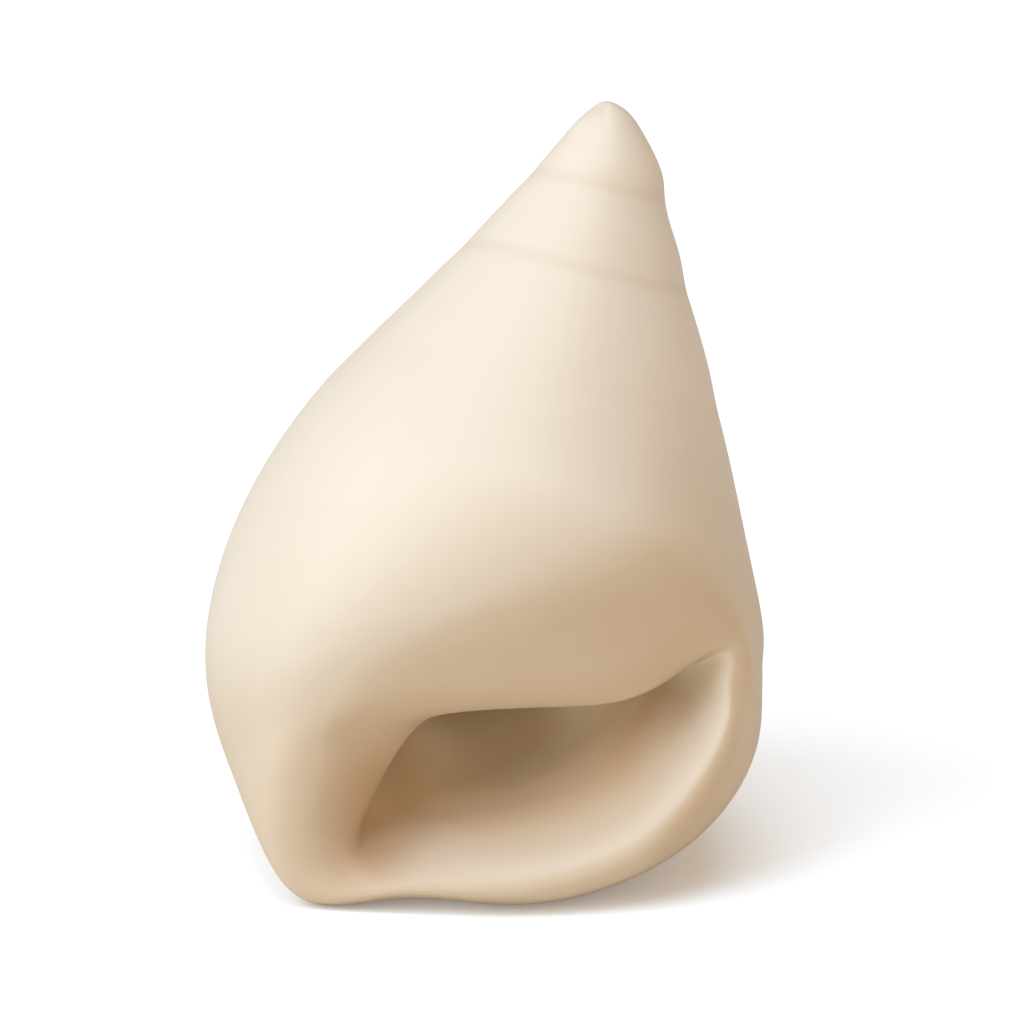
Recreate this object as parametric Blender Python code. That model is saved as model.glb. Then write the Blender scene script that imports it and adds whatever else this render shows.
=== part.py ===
"""Hoof shell: the coiled shell of a sea snail, one thick-walled piece with a hollow behind its mouth.

The shell stands on its foot. +Z is up, the mouth opens towards -Y, and the spire leans towards +X.
Its form is a stack of rings: down the spire, round the body, out to the lip and back into the hollow.
"""

import math

import bmesh
import bpy
import numpy

# Driving dimensions, in metres
SHELL_LENGTH = 0.050
SUTURE_DEPTH = 0.00010
SUTURE_HALF_WIDTH = 0.00075
WORN_DEPTH = 0.00045
WELD_DISTANCE = 0.000001

# Angles of the standing shell, in degrees
SPIRE_LEAN = 15.0
LAID_BACK = 20.0

# The front drawing's own scale. It is seen square to the axis, and the shell is DRAWN_LENGTH long in it.
DRAWN_LENGTH = 850.0
UNIT = SHELL_LENGTH / DRAWN_LENGTH
BODY_ACROSS = 486.0
BODY_DOWN = 663.0
APEX = (610.0, 101.5, 0.0)

# Mesh density
RING_POINTS = 16
COLUMNS = 48
SPIRE_STEPS = 3
BODY_STEPS = (6, 5, 5, 7, 5, 5, 6, 5)
HOLLOW_STEPS = 3

# Rings of the spire: distance down the axis, then reach to the left and to the right of it
SPIRE = (
    (5, 12, 19),
    (18, 23, 36),
    (40, 34, 57),
    (65, 46, 74),
    (92, 60, 84),
    (125, 77, 104),
    (165, 99, 125),
    (210, 125, 152),
    (265, 158, 182),
    (330, 197, 216),
)

# The shoulder, an oval ring: its centre, then the steps from it to its right, front and back ends, each as
# across, down and forward in the drawing
BULGE = ((491, 572, -4), (266, 28, 0), (20, -58, 258), (-20, 58, -258))

# Rings round the body, the base and the mouth, as points in the same three directions. Each starts at the
# right, runs over the front or the mouth's top to the left, and returns by the back or under the lip.
BELLY = (
    (764, 652, 15), (750, 616, 98), (698, 594, 170), (610, 590, 216),
    (505, 600, 238), (398, 615, 232), (302, 637, 192), (234, 658, 112),
    (205, 674, 25), (225, 702, -65), (285, 742, -145), (375, 772, -195),
    (472, 787, -212), (572, 776, -197), (668, 742, -150), (740, 694, -72),
)
BASE = (
    (761, 702, 38), (750, 640, 100), (710, 624, 142), (640, 640, 170),
    (555, 656, 186), (455, 670, 190), (355, 690, 183), (270, 720, 145),
    (231, 762, 60), (257, 812, 38), (309, 850, 16), (370, 843, -50),
    (462, 838, -90), (560, 833, -86), (648, 810, -64), (728, 762, -10),
)
RIM_OUTSIDE = (
    (750, 728, 90), (736, 668, 106), (707, 650, 108), (640, 691, 115),
    (570, 704, 120), (497, 707, 124), (421, 716, 124), (344, 744, 142),
    (304, 798, 141), (297, 860, 124), (328, 902, 112), (405, 894, 104),
    (500, 902, 110), (590, 891, 106), (670, 855, 98), (725, 798, 88),
)
RIM_CREST = (
    (727, 714, 114), (717, 676, 98), (701, 657, 78), (648, 690, 72),
    (575, 703, 80), (497, 706, 82), (433, 714, 86), (390, 752, 98),
    (361, 810, 98), (350, 852, 106), (368, 883, 122), (418, 884, 132),
    (500, 884, 140), (585, 868, 138), (657, 830, 132), (706, 770, 122),
)
RIM_INSIDE = (
    (698, 708, 78), (699, 680, 62), (684, 664, 46), (632, 686, 40),
    (563, 697, 44), (497, 700, 46), (440, 708, 50), (396, 748, 52),
    (366, 802, 62), (362, 838, 84), (388, 858, 102), (434, 852, 106),
    (500, 848, 110), (568, 834, 108), (628, 802, 100), (672, 756, 90),
)
THROAT = (
    (656, 698, 20), (660, 674, 6), (640, 664, 0), (605, 670, -4),
    (555, 677, -4), (500, 682, -2), (442, 690, 6), (396, 722, 16),
    (372, 766, 24), (376, 800, 38), (408, 816, 46), (450, 812, 50),
    (500, 806, 54), (546, 794, 54), (590, 768, 48), (628, 734, 38),
)

# Rings of the hollow, which coils behind the pillar: centre, half width, half height, and the angle in
# degrees that it has turned from the mouth. The hollow ends in a round dome.
HOLLOW = (
    ((475, 708, -48), 84, 56, 15),
    ((442, 643, -100), 76, 64, 55),
    ((394, 598, -114), 70, 64, 90),
    ((339, 566, -72), 60, 60, 140),
    ((334, 535, -13), 58, 54, 185),
    ((384, 505, 31), 46, 44, 235),
)
HOLLOW_END = (421, 490, 57)

# The suture, the spiral seam between the whorls: its distance down the axis each time it passes the front.
# After the last turn it runs out at the mouth's upper corner.
SUTURE_DROPS = (10, 84, 168, 280, 520)
SUTURE_ROWS = 45


def oval_ring(centre, right, front, back):
    """Points of an oval that starts at its right end, passes its front and returns by its back."""
    angles = numpy.arange(RING_POINTS) * math.tau / RING_POINTS
    sideways = numpy.outer(numpy.cos(angles), right)
    forwards = numpy.outer(numpy.sin(angles).clip(min=0.0), front)
    backwards = numpy.outer((-numpy.sin(angles)).clip(min=0.0), back)
    return numpy.array(centre) + sideways + forwards + backwards


def axis_directions():
    """Unit directions down the coiling axis and to the right of it, in the drawing."""
    lean = math.radians(SPIRE_LEAN)
    down_axis = numpy.array((-math.sin(lean), math.cos(lean), 0.0))
    right = numpy.array((math.cos(lean), math.sin(lean), 0.0))
    return down_axis, right


def spire_ring(drop, left_reach, right_reach):
    """A round ring of the spire, square to the axis."""
    down_axis, right = axis_directions()
    radius = (left_reach + right_reach) / 2
    centre = numpy.array(APEX) + down_axis * drop + right * (right_reach - left_reach) / 2
    return oval_ring(centre, right * radius, (0.0, 0.0, radius), (0.0, 0.0, -radius))


def hollow_ring(centre, half_width, half_height, turned):
    """An upright ring of the hollow, turned about the vertical."""
    angle = math.radians(turned)
    right = (half_width * math.cos(angle), 0.0, -half_width * math.sin(angle))
    return oval_ring(centre, right, (0.0, -half_height, 0.0), (0.0, half_height, 0.0))


def all_rings():
    """Every ring from the apex to the end of the hollow. Both ends are rings drawn together to a point."""
    apex = numpy.tile(APEX, (RING_POINTS, 1))
    spire = [spire_ring(*row) for row in SPIRE]
    bulge = [oval_ring(*BULGE)]
    body = [numpy.array(ring, float) for ring in (BELLY, BASE, RIM_OUTSIDE, RIM_CREST, RIM_INSIDE, THROAT)]
    hollow = [hollow_ring(*row) for row in HOLLOW]
    end = numpy.tile(HOLLOW_END, (RING_POINTS, 1))
    return numpy.array([apex] + spire + bulge + body + hollow + [end])


def spline_weights(knots, places):
    """Weights that turn values at the knots into a natural cubic spline's values at the places."""
    count = len(knots)
    gaps = numpy.diff(knots)
    unit_values = numpy.eye(count)
    system = numpy.eye(count)
    jumps = numpy.zeros((count, count))
    for row in range(1, count - 1):
        before = gaps[row - 1]
        after = gaps[row]
        system[row, row - 1:row + 2] = (before, 2 * (before + after), after)
        jumps[row, row - 1:row + 2] = (6 / before, -6 / before - 6 / after, 6 / after)
    bends = numpy.linalg.solve(system, jumps)
    span = numpy.clip(numpy.searchsorted(knots, places) - 1, 0, count - 2)
    far = ((places - knots[span]) / gaps[span])[:, None]
    near = 1 - far
    bending = (near ** 3 - near) * bends[span] + (far ** 3 - far) * bends[span + 1]
    return near * unit_values[span] + far * unit_values[span + 1] + bending * gaps[span, None] ** 2 / 6


def round_weights():
    """Weights that turn a ring's points into COLUMNS points on a smooth closed curve through them."""
    overlap = RING_POINTS // 2
    knots = numpy.arange(-overlap, RING_POINTS + overlap + 1)
    places = numpy.arange(COLUMNS) * RING_POINTS / COLUMNS
    open_weights = spline_weights(knots, places)
    closed_weights = numpy.zeros((COLUMNS, RING_POINTS))
    for column, knot in enumerate(knots):
        closed_weights[:, knot % RING_POINTS] += open_weights[:, column]
    return closed_weights


def row_places(knots):
    """Where the mesh's rows lie: on every ring, and evenly spaced between one ring and the next."""
    steps = (SPIRE_STEPS,) * len(SPIRE) + BODY_STEPS + (HOLLOW_STEPS,) * len(HOLLOW)
    places = [0.0]
    for start, stop, count in zip(knots, knots[1:], steps):
        places.extend(numpy.linspace(start, stop, count + 1)[1:])
    return numpy.array(places)


def shell_surface():
    """Rows of points on the shell's surface, in the drawing, from the apex to the end of the hollow."""
    rings = all_rings()
    gaps = numpy.linalg.norm(numpy.diff(rings, axis=0), axis=2).mean(axis=1)
    knots = numpy.concatenate(((0.0,), numpy.cumsum(gaps)))
    places = row_places(knots)

    # The rings carry on past both closed ends, on the far side, so that the ends come out round
    across = numpy.roll(rings, RING_POINTS // 2, axis=1)
    rings = numpy.concatenate((across[3:0:-1], rings, across[-2:-4:-1]))
    knots = numpy.concatenate((-knots[3:0:-1], knots, 2 * knots[-1] - knots[-2:-4:-1]))
    lengthwise = numpy.einsum("ij,jkl->ikl", spline_weights(knots, places), rings)
    return numpy.einsum("aj,ijl->ial", round_weights(), lengthwise)


def suture_drop(turns):
    """How far down the axis the seam lies, by its turns since the front. It hardly drops across the front."""
    eased = turns - math.sin(math.tau * turns) / math.tau
    return numpy.interp(eased, range(len(SUTURE_DROPS)), SUTURE_DROPS)


def press_suture(rows):
    """Press the shallow spiral seam into the spire and the shoulder."""
    down_axis, right = axis_directions()
    half_width = SUTURE_HALF_WIDTH / UNIT
    for row in rows[1:SUTURE_ROWS]:
        for point in row:
            offset = point - numpy.array(APEX)
            drop = offset @ down_axis
            outwards = offset - down_axis * drop
            angle = math.atan2(outwards[2], outwards @ right)
            part_turn = (angle / math.tau - 0.25) % 1.0
            gap = min(abs(drop - suture_drop(turn + part_turn)) for turn in range(len(SUTURE_DROPS) - 1))
            dip = math.exp(-(gap / half_width) ** 2) * SUTURE_DEPTH / UNIT
            point -= outwards / numpy.linalg.norm(outwards) * dip


def standing(rows):
    """The drawing's points as metres in the standing shell's frame, before the foot is set down."""
    across = (rows[..., 0] - BODY_ACROSS) * UNIT
    up = (BODY_DOWN - rows[..., 1]) * UNIT
    forward = rows[..., 2] * UNIT
    back = math.radians(LAID_BACK)
    depth = up * math.sin(back) - forward * math.cos(back)
    height = up * math.cos(back) + forward * math.sin(back)
    return numpy.stack((across, depth, height), axis=-1)


def set_down(rows):
    """Wear the foot flat where the shell rests, and put the origin under the middle of its box."""
    floor = rows[..., 2].min() + WORN_DEPTH
    rows[..., 2] = numpy.maximum(rows[..., 2], floor)
    low = rows.min(axis=(0, 1))
    high = rows.max(axis=(0, 1))
    return rows - ((low[0] + high[0]) / 2, (low[1] + high[1]) / 2, floor)


def shell_mesh(rows):
    """Roll a flat grid up into the shell and weld its seam and its two ends."""
    mesh = bpy.data.meshes.new("shell")
    grid = bmesh.new()
    last_row = len(rows) - 1
    bmesh.ops.create_grid(grid, x_segments=COLUMNS, y_segments=last_row, size=1.0)
    for vertex in grid.verts:
        column = round((vertex.co.x + 1) / 2 * COLUMNS) % COLUMNS
        row = round((vertex.co.y + 1) / 2 * last_row)
        vertex.co = rows[row, column]
    bmesh.ops.remove_doubles(grid, verts=grid.verts, dist=WELD_DISTANCE)
    bmesh.ops.recalc_face_normals(grid, faces=grid.faces)
    grid.to_mesh(mesh)
    grid.free()
    mesh.shade_smooth()
    return mesh


def shell_material():
    """Satin cream shell, without gloss."""
    material = bpy.data.materials.new("shell_cream")
    material.use_nodes = True
    shader = material.node_tree.nodes["Principled BSDF"]
    shader.inputs["Base Color"].default_value = (0.84, 0.72, 0.55, 1.0)
    shader.inputs["Roughness"].default_value = 0.45
    shader.inputs["Metallic"].default_value = 0.0
    return material


for leftover in list(bpy.data.objects):
    bpy.data.objects.remove(leftover)

surface = shell_surface()
press_suture(surface)
shell = bpy.data.objects.new("shell", shell_mesh(set_down(standing(surface))))
shell.data.materials.append(shell_material())
bpy.context.scene.collection.objects.link(shell)
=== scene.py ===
"""A hoof shell on a pale studio floor, seen from the front and a little above."""
import math

import bpy
import numpy
from mathutils import Matrix, Vector


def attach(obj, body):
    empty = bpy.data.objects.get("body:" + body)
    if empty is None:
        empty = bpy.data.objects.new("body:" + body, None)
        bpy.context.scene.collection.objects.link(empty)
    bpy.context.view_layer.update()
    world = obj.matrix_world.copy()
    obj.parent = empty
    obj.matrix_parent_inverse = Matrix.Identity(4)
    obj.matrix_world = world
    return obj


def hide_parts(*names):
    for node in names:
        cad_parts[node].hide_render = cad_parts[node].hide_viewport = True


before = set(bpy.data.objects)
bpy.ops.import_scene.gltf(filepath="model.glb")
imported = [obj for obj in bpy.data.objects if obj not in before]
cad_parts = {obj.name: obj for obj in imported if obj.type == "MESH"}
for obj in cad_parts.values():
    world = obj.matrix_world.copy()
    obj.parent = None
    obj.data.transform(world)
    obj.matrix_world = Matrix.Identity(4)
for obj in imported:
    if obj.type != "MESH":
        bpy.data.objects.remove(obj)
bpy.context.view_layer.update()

# The shell
# A sea snail's shell, grown as one piece of hard, chalky material. The animal lays it down at the lip, turn
# after turn, so faint growth lines follow the lip. A seam winds up the spire where each turn meets the last.
MERGE_DISTANCE = 0.000001
bpy.ops.object.select_all(action="DESELECT")
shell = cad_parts["shell"].copy()
shell.data = shell.data.copy()
shell.name = "shell_surface"
bpy.context.scene.collection.objects.link(shell)
bpy.context.view_layer.objects.active = shell
shell.select_set(True)

bpy.ops.object.mode_set(mode="EDIT")
bpy.ops.mesh.select_all(action="SELECT")
bpy.ops.mesh.remove_doubles(threshold=MERGE_DISTANCE)
bpy.ops.mesh.tris_convert_to_quads(face_threshold=math.radians(60), shape_threshold=math.radians(100))
bpy.ops.object.mode_set(mode="OBJECT")
finer = shell.modifiers.new("finer", "SUBSURF")
finer.levels = 2
finer.render_levels = 2
bpy.ops.object.modifier_apply(modifier="finer")
shell.data.shade_smooth()

count = len(shell.data.vertices)
points = numpy.empty(count * 3)
shell.data.vertices.foreach_get("co", points)
points = points.reshape(-1, 3)
outward = numpy.empty(count * 3)
shell.data.vertex_normals.foreach_get("vector", outward)
outward = outward.reshape(-1, 3)

# The coiling axis runs from the tip of the spire down to the foot
LEAN = math.radians(15)
LAID_BACK = math.radians(20)
apex = points[points[:, 2].argmax()]
down_axis = numpy.array((
    -math.sin(LEAN),
    -math.cos(LEAN) * math.sin(LAID_BACK),
    -math.cos(LEAN) * math.cos(LAID_BACK),
))
right = numpy.array((
    math.cos(LEAN),
    -math.sin(LEAN) * math.sin(LAID_BACK),
    -math.sin(LEAN) * math.cos(LAID_BACK),
))
front = numpy.cross(down_axis, right)
drop = (points - apex) @ down_axis
share_down = drop / drop.max()
turned = numpy.arctan2((points - apex) @ front, (points - apex) @ right)


def surface_value(name, values):
    """Keep a value for each point of the shell's surface, for the material to read."""
    layer = shell.data.attributes.new(name, "FLOAT", "POINT")
    layer.data.foreach_set("value", numpy.asarray(values, dtype=numpy.float32))


def eased(values, start, stop):
    """0 before start, 1 after stop, and a smooth rise between them."""
    part = numpy.clip((values - start) / (stop - start), 0.0, 1.0)
    return part * part * (3 - 2 * part)


# The middle line of the hollow, in metres. The hollow's own wall faces this line and lies within its reach, and
# the outside faces away from it.
HOLLOW_REACH = 0.0115
HOLLOW_EDGE = 0.002
HOLLOW_LINE = numpy.array((
    (0.0036, -0.0111, 0.0066),
    (0.0027, -0.0082, 0.0068),
    (0.0012, -0.0047, 0.0077),
    (-0.0005, -0.0004, 0.0078),
    (-0.0025, 0.0037, 0.0104),
    (-0.0053, 0.0054, 0.0126),
    (-0.0085, 0.0037, 0.0152),
    (-0.0088, 0.0011, 0.0181),
    (-0.0059, -0.0007, 0.0206),
    (-0.0037, -0.0019, 0.0220),
))
nearest = numpy.full(count, numpy.inf)
facing_in = numpy.zeros(count)
for start, stop in zip(HOLLOW_LINE, HOLLOW_LINE[1:]):
    stretch = stop - start
    along = numpy.clip((points - start) @ stretch / (stretch @ stretch), 0.0, 1.0)
    to_line = start + along[:, None] * stretch - points
    distance = numpy.linalg.norm(to_line, axis=1)
    closer = distance < nearest
    nearest[closer] = distance[closer]
    facing_in[closer] = ((to_line * outward).sum(axis=1) / distance)[closer]
within_reach = eased(HOLLOW_REACH - nearest, 0.0, HOLLOW_EDGE)
inside = eased(facing_in, 0.0, 0.5) * within_reach

# How far each point lies behind the plane of the mouth, in metres, and so how deep in the throat. The throat is
# the shell's own
# browner inside, with painted shade added: walls that don't face up start browner, as painted shade. The right
# end of the throat is half as brown.
THROAT_DEPTH = 0.010
MOUTH_CENTRE = numpy.array((0.0033, -0.0103, 0.0073))
MOUTH_OUTWARDS = numpy.array((-0.083, -0.792, 0.604))
behind_mouth = (MOUTH_CENTRE - points) @ MOUTH_OUTWARDS
# Painted shade: walls that face down are browner
facing_up = eased(outward[:, 2], 0.2, 0.6)
right_end = eased(points[:, 0], 0.0085, 0.0115)
into_throat = numpy.clip(behind_mouth / THROAT_DEPTH, 0.3 * (1 - facing_up), 1.0)
surface_value("throat", inside * into_throat * (1 - 0.5 * right_end))
surface_value("inner_lip", inside * eased(behind_mouth, -0.0010, 0.0002))

# The seam is where one turn meets the last. It hardly drops across the front. It is darkened as painted shade
# of its shallow groove.
SEAM_DROPS = (0.0006, 0.0049, 0.0099, 0.0165, 0.0306)
SEAM_WIDTH = 0.0004
seam = numpy.zeros(count)
part_turn = (turned / math.tau - 0.25) % 1.0
for turn in range(len(SEAM_DROPS) - 1):
    turns = turn + part_turn
    uneven_turns = turns - numpy.sin(math.tau * turns) / math.tau
    seam_drop = numpy.interp(uneven_turns, range(len(SEAM_DROPS)), SEAM_DROPS)
    fade = 1 - eased(turns, 2.0, 3.2)
    seam = numpy.maximum(seam, numpy.exp(-((drop - seam_drop) / SEAM_WIDTH) ** 2) * fade)
outer = 1 - eased(facing_in, -0.2, 0.2) * within_reach
surface_value("seam", seam * outer)

# The base, the side that faces right and down, and the front of the lip's rim are tanner than the rest: the
# base partly as the shell's own tone and partly as painted shade, the rest as painted shade away from the main
# light. What faces fully right is less tan again, as a painted reflection of the bright room.
SHADED_SIDE = numpy.array((0.75, 0.0, -0.66))
tan_and_shade = eased(share_down, 0.26, 0.56) * eased(outward @ SHADED_SIDE, -0.1, 0.55)
# The base is tanner down the axis, partly as the shell's own tone and partly as painted shade on the pillar and
# lip
tan_and_shade = numpy.maximum(tan_and_shade, 0.55 * eased(share_down, 0.66, 0.86))
# Painted shade on the side that faces right, away from the main light
right_side_shade = eased(outward[:, 0], 0.25, 0.85) * eased(share_down, 0.18, 0.48)
tan_and_shade = tan_and_shade + (1 - tan_and_shade) * 0.5 * right_side_shade
# Painted shade on the front of the lip's rim, stronger at its right end
rim_shade = (1 - eased(numpy.abs(behind_mouth), 0.0010, 0.0030)) * eased(points[:, 0], 0.0, 0.004)
rim_shade = rim_shade * eased(share_down, 0.52, 0.58) * eased(outward[:, 0], -0.6, 0.2)
tan_and_shade = tan_and_shade * (1 - rim_shade) + (0.55 + 0.35 * right_end) * rim_shade
# Painted reflection: what faces fully right is lighter again
surface_value("tan_and_shade", tan_and_shade * (1 - 0.5 * eased(outward[:, 0], 0.55, 1.0)))

# Painted shade runs down the pillar's edge into the notch at the foot of the mouth, where the groove lies in
# shade, and goes in behind the pillar, where the throat lies in the pillar's shade
SHADE_WIDTH = 0.0028
SHADE_TOP = numpy.array((-0.0068, -0.0106, 0.0065))
SHADE_FOOT = numpy.array((-0.0070, -0.0110, 0.0031))
stretch = SHADE_FOOT - SHADE_TOP
along = numpy.clip((points - SHADE_TOP) @ stretch / (stretch @ stretch), 0.0, 1.0)
away = numpy.linalg.norm(SHADE_TOP + along[:, None] * stretch - points, axis=1)
shade_behind_pillar = inside * eased(-points[:, 0], 0.0020, 0.0055) * eased(behind_mouth, 0.002, 0.005)
surface_value("notch_shade", numpy.maximum(numpy.exp(-(away / SHADE_WIDTH) ** 2), 0.7 * shade_behind_pillar))

cream = bpy.data.materials.new("shell_cream")
cream.use_nodes = True
nodes = cream.node_tree.nodes
links = cream.node_tree.links
satin = nodes["Principled BSDF"]


def read_value(name):
    """A node that reads one of the surface's own values."""
    node = nodes.new("ShaderNodeAttribute")
    node.attribute_name = name
    return node.outputs["Fac"]


def ramp(value, *stops):
    """A smooth run of colours over a value: each stop is a place and a colour."""
    node = nodes.new("ShaderNodeValToRGB")
    node.color_ramp.interpolation = "EASE"
    for extra in stops[2:]:
        node.color_ramp.elements.new(extra[0])
    for element, (place, colour) in zip(node.color_ramp.elements, sorted(stops)):
        element.position = place
        element.color = (*colour, 1.0)
    links.new(value, node.inputs["Fac"])
    return node.outputs["Color"]


def blended(amount, first, second, kind="MIX"):
    """Two colours mixed by an amount, which is a number or another node's value."""
    node = nodes.new("ShaderNodeMix")
    node.data_type = "RGBA"
    node.blend_type = kind
    for socket, source in ((node.inputs[0], amount), (node.inputs[6], first), (node.inputs[7], second)):
        if isinstance(source, bpy.types.NodeSocket):
            links.new(source, socket)
        else:
            socket.default_value = source
    return node.outputs[2]


def noise(vector, scale, detail, roughness=0.5):
    """Soft irregular patches in space."""
    node = nodes.new("ShaderNodeTexNoise")
    node.inputs["Scale"].default_value = scale
    node.inputs["Detail"].default_value = detail
    node.inputs["Roughness"].default_value = roughness
    links.new(vector, node.inputs["Vector"])
    return node.outputs["Fac"]


def between(value, low, high):
    """A value from 0 to 1 spread over a new range."""
    node = nodes.new("ShaderNodeMapRange")
    node.inputs["To Min"].default_value = low
    node.inputs["To Max"].default_value = high
    links.new(value, node.inputs["Value"])
    return node.outputs["Result"]


place = nodes.new("ShaderNodeTexCoord").outputs["Object"]

# Growth lines run from seam to seam, so their pattern hardly changes down the axis
along_axis = nodes.new("ShaderNodeMapping")
along_axis.vector_type = "TEXTURE"
along_axis.inputs["Location"].default_value = apex
along_axis.inputs["Rotation"].default_value = Matrix((right, front, -down_axis)).transposed().to_euler()
links.new(place, along_axis.inputs["Vector"])
flattened = nodes.new("ShaderNodeVectorMath")
flattened.operation = "MULTIPLY"
flattened.inputs[1].default_value = (1.0, 1.0, 0.0)
links.new(along_axis.outputs["Vector"], flattened.inputs[0])
round_axis = nodes.new("ShaderNodeVectorMath")
round_axis.operation = "NORMALIZE"
links.new(flattened.outputs["Vector"], round_axis.inputs[0])
growth = noise(round_axis.outputs["Vector"], 22.0, 4.0, 0.65)
clouds = noise(place, 130.0, 3.0)
grain = noise(place, 2600.0, 2.0)

# The body runs from cream to tan: partly the shell's own tone, mostly painted shade
body_tone_and_shade = ramp(read_value("tan_and_shade"), (0.0, (0.92, 0.88, 0.79)), (1.0, (0.74, 0.62, 0.46)))
# The throat is brown just inside the lip, partly its own darker throat and partly painted shade, and paler
# deeper in, as painted light that lifts the deep hollow out of its shade
throat_tone_light_and_shade = ramp(
    read_value("throat"),
    (0.0, (0.90, 0.84, 0.76)),
    (0.12, (0.86, 0.77, 0.65)),
    (0.26, (0.82, 0.68, 0.52)),
    (0.50, (0.95, 0.86, 0.70)),
    (0.75, (0.98, 0.94, 0.83)),
    (1.0, (0.94, 0.86, 0.72)),
)
colour = blended(between(read_value("inner_lip"), 0.0, 1.0), body_tone_and_shade, throat_tone_light_and_shade)
# Painted shade along the pillar's edge, in the notch and behind the pillar
colour = blended(between(read_value("notch_shade"), 0.0, 0.85), colour, (0.62, 0.43, 0.27, 1.0))
colour = blended(between(growth, 0.0, 0.10), colour, (0.74, 0.60, 0.43, 1.0))
colour = blended(between(clouds, 0.0, 0.10), colour, (0.92, 0.86, 0.76, 1.0))
# Painted shade along the seam's groove
colour = blended(between(read_value("seam"), 0.0, 0.12), colour, (0.55, 0.40, 0.25, 1.0))
links.new(colour, satin.inputs["Base Color"])
links.new(between(clouds, 0.36, 0.48), satin.inputs["Roughness"])
satin.inputs["Specular IOR Level"].default_value = 0.45

relief = nodes.new("ShaderNodeMath")
relief.operation = "MULTIPLY_ADD"
relief.inputs[1].default_value = 0.25
links.new(grain, relief.inputs[0])
links.new(growth, relief.inputs[2])
bump = nodes.new("ShaderNodeBump")
bump.inputs["Strength"].default_value = 0.25
bump.inputs["Distance"].default_value = 0.00004
links.new(relief.outputs["Value"], bump.inputs["Height"])
links.new(bump.outputs["Normal"], satin.inputs["Normal"])

shell.data.materials.clear()
shell.data.materials.append(cream)
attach(shell, "root")
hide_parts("shell")

# The floor
# A sheet of white studio paper, wide enough to fill the picture. It takes the shell's soft shadow. The camera
# sees it whiter and cooler than the shell does.
bpy.ops.mesh.primitive_plane_add(size=6.0, location=(0.0, 0.0, 0.0))
floor = bpy.context.object
floor.name = "studio_floor"
paper = bpy.data.materials.new("studio_paper")
paper.use_nodes = True
paper_nodes = paper.node_tree.nodes
paper_links = paper.node_tree.links
paper_nodes.remove(paper_nodes["Principled BSDF"])
seen = paper_nodes.new("ShaderNodeLightPath").outputs["Is Camera Ray"]
lit = paper_nodes.new("ShaderNodeBsdfDiffuse")
lit.inputs["Color"].default_value = (0.80, 0.76, 0.70, 1.0)
white = paper_nodes.new("ShaderNodeBsdfDiffuse")
white.inputs["Color"].default_value = (0.55, 0.62, 0.70, 1.0)
doubled = paper_nodes.new("ShaderNodeAddShader")
paper_links.new(white.outputs["BSDF"], doubled.inputs[0])
paper_links.new(white.outputs["BSDF"], doubled.inputs[1])
glow = paper_nodes.new("ShaderNodeEmission")
glow.inputs["Color"].default_value = (1.0, 0.97, 0.95, 1.0)
glow.inputs["Strength"].default_value = 0.18
seen_white = paper_nodes.new("ShaderNodeAddShader")
paper_links.new(doubled.outputs["Shader"], seen_white.inputs[0])
paper_links.new(glow.outputs["Emission"], seen_white.inputs[1])
either = paper_nodes.new("ShaderNodeMixShader")
paper_links.new(seen, either.inputs["Fac"])
paper_links.new(lit.outputs["BSDF"], either.inputs[1])
paper_links.new(seen_white.outputs["Shader"], either.inputs[2])
paper_links.new(either.outputs["Shader"], paper_nodes["Material Output"].inputs["Surface"])
floor.data.materials.append(paper)

# The light
# The main soft box stands up and to the left in front of the shell, and another hangs right over it. Two weak
# ones fill in from the front and the right, and the room's own light is warm.
HEART = Vector((0.0, 0.0, 0.016))


def soft_box(name, across, towards, up, size, power, tint):
    """A square soft box at a place round the shell, turned to face it."""
    spot = HEART + Vector((across, towards, up))
    bpy.ops.object.light_add(type="AREA", location=spot)
    box = bpy.context.object
    box.name = name
    box.data.size = size
    box.data.energy = power
    box.data.color = tint
    box.rotation_euler = (HEART - spot).to_track_quat("-Z", "Y").to_euler()


soft_box("key_light", -0.95, -0.385, 0.72, 1.30, 10.3, (0.82, 0.93, 1.0))
soft_box("top_light", 0.0, -0.05, 1.25, 1.00, 7.2, (0.82, 0.92, 1.0))
soft_box("front_fill", 0.0, -1.23, 0.22, 0.80, 2.4, (1.0, 0.74, 0.48))
soft_box("side_fill", 1.23, -0.12, 0.22, 0.80, 0.9, (0.92, 0.96, 1.0))

room = bpy.data.worlds.new("white_room")
bpy.context.scene.world = room
room.use_nodes = True
room_nodes = room.node_tree.nodes
fill = room_nodes["Background"]
fill.inputs["Color"].default_value = (1.0, 0.65, 0.37, 1.0)
fill.inputs["Strength"].default_value = 0.32
backdrop = room_nodes.new("ShaderNodeBackground")
backdrop.inputs["Color"].default_value = (1.0, 1.0, 1.0, 1.0)
room_mix = room_nodes.new("ShaderNodeMixShader")
room_links = room.node_tree.links
room_seen = room_nodes.new("ShaderNodeLightPath").outputs["Is Camera Ray"]
room_links.new(room_seen, room_mix.inputs["Fac"])
room_links.new(fill.outputs["Background"], room_mix.inputs[1])
room_links.new(backdrop.outputs["Background"], room_mix.inputs[2])
room_links.new(room_mix.outputs["Shader"], room_nodes["World Output"].inputs["Surface"])
bpy.context.scene.view_settings.view_transform = "Standard"

# The camera
# A long lens looks at the shell from straight in front and 20 degrees above the floor.
PICTURE_WIDTH = 0.0602
LENS = 500.0
SENSOR = 36.0
aim = Vector((0.00164, 0.00086, 0.01964))
towards_camera = Vector((0.0, -math.cos(LAID_BACK), math.sin(LAID_BACK)))
bpy.ops.object.camera_add(location=aim + towards_camera * PICTURE_WIDTH * LENS / SENSOR)
camera = bpy.context.object
camera.rotation_euler = towards_camera.to_track_quat("Z", "Y").to_euler()
camera.data.lens = LENS
camera.data.sensor_width = SENSOR
camera.data.clip_start = 0.01
camera.data.clip_end = 20.0
bpy.context.scene.camera = camera
